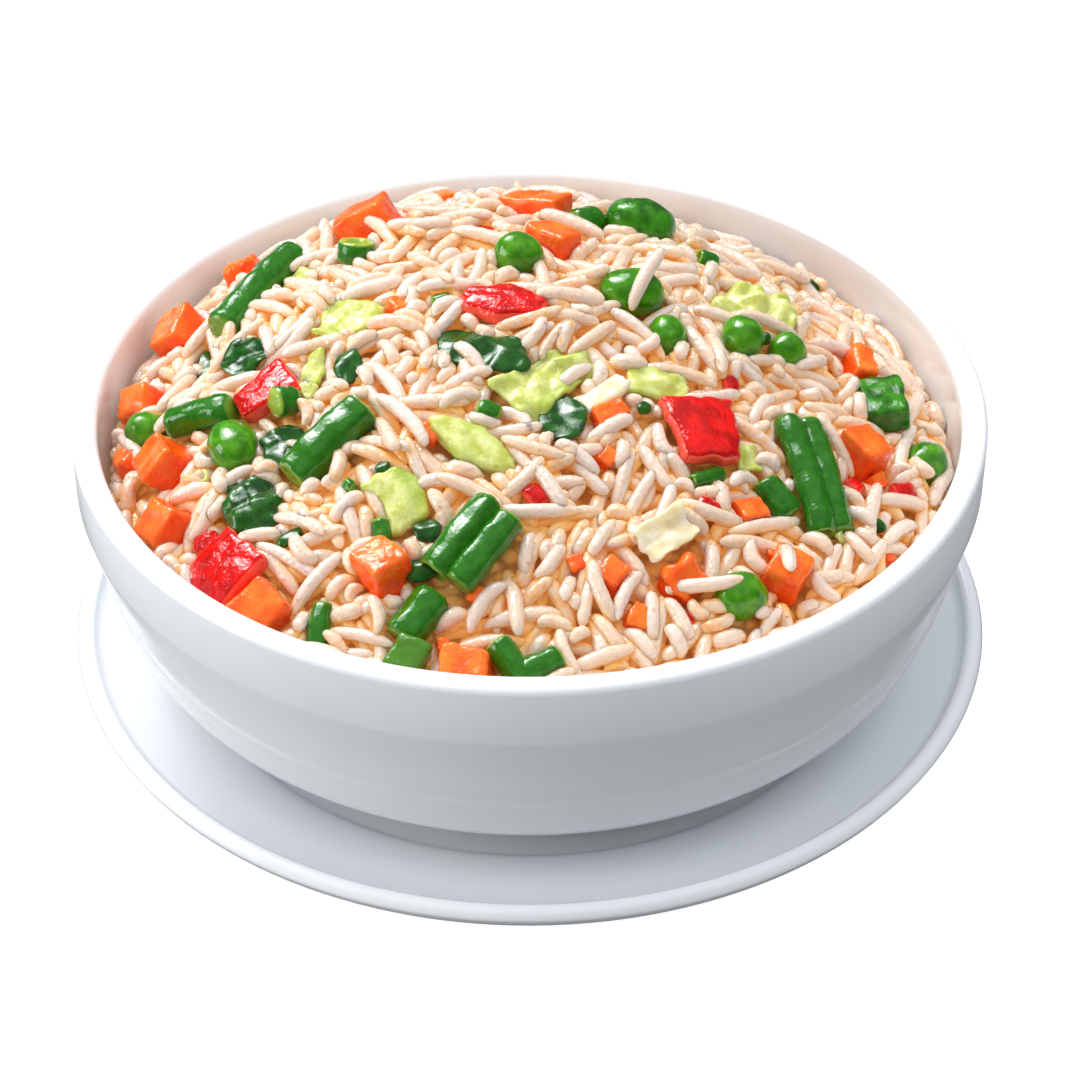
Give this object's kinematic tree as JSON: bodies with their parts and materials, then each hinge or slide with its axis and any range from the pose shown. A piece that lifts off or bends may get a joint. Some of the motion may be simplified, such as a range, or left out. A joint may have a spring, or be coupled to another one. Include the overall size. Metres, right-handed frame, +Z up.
{
  "type": "fried rice plate",
  "caption": "Fried long-grain rice with diced vegetables, heaped in a deep round white bowl that stands on its saucer.",
  "frame": {"origin": "on the table under the middle of the saucer", "axes": "+Z up, -Y towards the side that the picture shows in front"},
  "size_m": [0.1912, 0.1912, 0.0946],
  "materials": {
    "porcelain": "white glaze, glossy",
    "rice": "cooked long-grain rice, moist, slightly translucent",
    "pea": "cooked green peas, wet skin",
    "bean": "cut green beans, oily skin",
    "carrot": "cooked carrot dice, wet",
    "pepper_green": "green pepper pieces, shiny skin",
    "pepper_red": "red pepper pieces, shiny skin",
    "leaf": "dark green leaf pieces, crinkled and wet",
    "cabbage": "pale cabbage pieces, soft and moist"
  },
  "bodies": {
    "root": {"saucer": "porcelain", "bowl": "porcelain", "rice_heap": "rice", "pea_1": "pea", "pea_2": "pea", "pea_3": "pea", "pea_4": "pea", "pea_5": "pea", "pea_6": "pea", "pea_7": "pea", "pea_8": "pea", "pea_9": "pea", "bean_1": "bean", "bean_2": "bean", "bean_3": "bean", "bean_4": "bean", "bean_5": "bean", "bean_6": "bean", "bean_7": "bean", "bean_8": "bean", "bean_9": "bean", "bean_10": "bean", "bean_11": "bean", "carrot_1": "carrot", "carrot_2": "carrot", "carrot_3": "carrot", "carrot_4": "carrot", "carrot_5": "carrot", "carrot_6": "carrot", "carrot_7": "carrot", "carrot_8": "carrot", "carrot_9": "carrot", "carrot_10": "carrot", "carrot_11": "carrot", "carrot_12": "carrot", "carrot_13": "carrot", "carrot_14": "carrot", "carrot_15": "carrot", "carrot_16": "carrot", "pepper_green_1": "pepper_green", "pepper_green_2": "pepper_green", "pepper_red_1": "pepper_red", "pepper_red_2": "pepper_red", "pepper_red_3": "pepper_red", "pepper_red_4": "pepper_red", "leaf_1": "leaf", "leaf_2": "leaf", "leaf_3": "leaf", "leaf_4": "leaf", "leaf_5": "leaf", "leaf_6": "leaf", "leaf_7": "leaf", "cabbage_1": "cabbage", "cabbage_2": "cabbage", "cabbage_3": "cabbage", "cabbage_4": "cabbage", "cabbage_5": "cabbage", "cabbage_6": "cabbage", "cabbage_7": "cabbage", "cabbage_8": "cabbage"}
  },
  "joints": []
}
